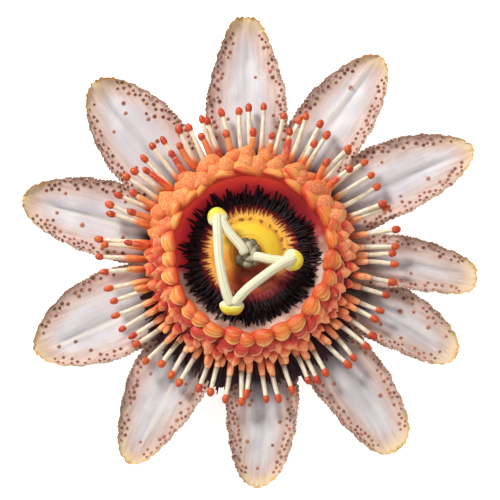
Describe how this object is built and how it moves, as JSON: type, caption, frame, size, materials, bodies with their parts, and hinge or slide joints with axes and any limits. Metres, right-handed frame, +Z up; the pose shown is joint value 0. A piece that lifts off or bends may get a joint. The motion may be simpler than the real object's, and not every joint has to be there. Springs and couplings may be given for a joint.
{
  "type": "passion flower",
  "caption": "Picked passion flower lying face up: long spotted tepals, a ring of knobbed filaments, an orange beaded ruff round a red cup, dark spines, a yellow disc, bent styles and stigmas.",
  "frame": {"origin": "centre of the small flat spot under the receptacle, on which the flower rests", "axes": "+Z up along the flower's axis, out of its face; +Y towards the broad tepal that tepal_01 models; +X to the right of it when the face is looked at"},
  "size_m": [0.0892, 0.0938, 0.0148],
  "materials": {
    "receptacle": "matt green plant flesh",
    "tepal": "satin white-lilac petal skin, margins spotted red-brown",
    "cup": "satin deep red flesh",
    "filament": "waxy cream stems with glossy red-orange knobs",
    "ruff": "waxy orange flesh, frosted on the far side",
    "nectar_disc": "moist yellow flesh with brown dots",
    "spine": "near-black purple, slightly glossy",
    "ovary": "moist grey-olive",
    "style": "satin cream with green stripes",
    "stigma": "matt yellow"
  },
  "bodies": {
    "root": {"receptacle": "receptacle", "tepal_01": "tepal", "tepal_02": "tepal", "tepal_03": "tepal", "tepal_04": "tepal", "tepal_05": "tepal", "tepal_06": "tepal", "tepal_07": "tepal", "tepal_08": "tepal", "tepal_09": "tepal", "tepal_10": "tepal", "tepal_11": "tepal", "cup": "cup", "filament_ring": "filament", "ruff": "ruff", "nectar_disc": "nectar_disc", "spine_ring": "spine", "ovary": "ovary", "style_ovary_left": "style", "style_ovary_right": "style", "style_left_low": "style", "style_low_right": "style", "stigma_left": "stigma", "stigma_low": "stigma", "stigma_right": "stigma"}
  },
  "joints": []
}
